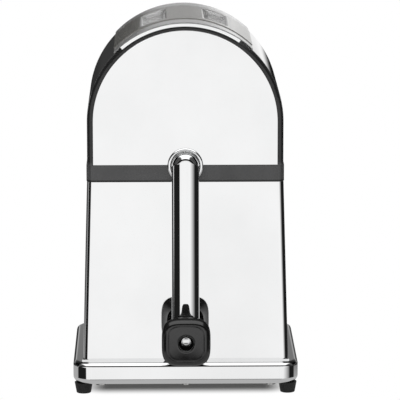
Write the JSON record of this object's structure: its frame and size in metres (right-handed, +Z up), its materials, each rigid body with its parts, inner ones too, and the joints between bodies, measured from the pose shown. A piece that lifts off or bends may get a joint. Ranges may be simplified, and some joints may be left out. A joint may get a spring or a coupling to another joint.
{
  "type": "hand crank ice crusher",
  "caption": "Free-standing hand crank ice crusher: chrome housing with an arched hopper under a clear lid, a side crank that turns a bladed rotor, and an ice drawer below.",
  "frame": {"origin": "on the table at the middle of the foot print", "axes": "+Z up, +X to the crank side, -Y to the front where the drawer comes out"},
  "size_m": [0.1607, 0.1518, 0.2523],
  "materials": {
    "chrome": "mirror plated",
    "chrome_pin": "polished",
    "black_plastic": "satin to gloss",
    "knob_black": "soft satin",
    "foot_rubber": "matt",
    "hopper_plastic": "satin",
    "clear_plastic": "clear with a faint violet tint",
    "steel": "ground",
    "screw_steel": "zinc plated",
    "bush_bronze": "sintered bronze"
  },
  "bodies": {
    "machine": {"base_plate": "chrome", "base_cover": "steel", "foot_front_left": "foot_rubber", "foot_rear_left": "foot_rubber", "foot_front_right": "foot_rubber", "foot_rear_right": "foot_rubber", "cover_screws": "screw_steel", "foot_screws": "screw_steel", "housing_screws": "screw_steel", "lower_housing": "chrome", "drawer_rail_left": "hopper_plastic", "drawer_rail_right": "hopper_plastic", "upper_frame": "black_plastic", "frame_screws": "screw_steel", "side_panel_crank": "chrome", "side_panel_plain": "chrome", "front_cover": "chrome", "rear_cover": "chrome", "mouth_frame": "chrome", "hopper": "hopper_plastic", "ice_chute": "hopper_plastic", "coarse_comb": "steel", "fine_comb": "steel", "comb_screws": "screw_steel", "bush_crank": "bush_bronze", "bush_plain": "bush_bronze", "hub_ring": "chrome"},
    "crank": {"rotor_shaft": "steel", "rotor_blade_1": "steel", "rotor_blade_2": "steel", "rotor_blade_3": "steel", "rotor_blade_4": "steel", "rotor_blade_5": "steel", "rotor_blade_6": "steel", "rotor_blade_7": "steel", "rotor_spacer_1": "steel", "rotor_spacer_2": "steel", "rotor_spacer_3": "steel", "rotor_spacer_4": "steel", "rotor_spacer_5": "steel", "rotor_spacer_6": "steel", "rotor_spacer_7": "steel", "end_sleeve": "steel", "shaft_clip": "steel", "crank_arm": "chrome", "crank_set_screw": "screw_steel", "knob_spindle": "chrome_pin"},
    "knob": {"knob": "knob_black"},
    "lid": {"lid": "clear_plastic"},
    "drawer": {"drawer_tub": "clear_plastic", "drawer_front": "chrome"}
  },
  "joints": [
    {"name": "crank_spin", "type": "hinge", "parent": "machine", "child": "crank", "pos_m": [0.055, 0, 0.1553], "axis": [1, 0, 0], "continuous": true},
    {"name": "knob_spin", "type": "hinge", "parent": "crank", "child": "knob", "pos_m": [0.082, 0, 0.0425], "axis": [1, 0, 0], "continuous": true},
    {"name": "lid_lift", "type": "slide", "parent": "machine", "child": "lid", "axis": [0, 0, 1], "range_m": [0, 0.06]},
    {"name": "drawer_slide", "type": "slide", "parent": "machine", "child": "drawer", "axis": [0, -1, 0], "range_m": [0, 0.1]}
  ]
}
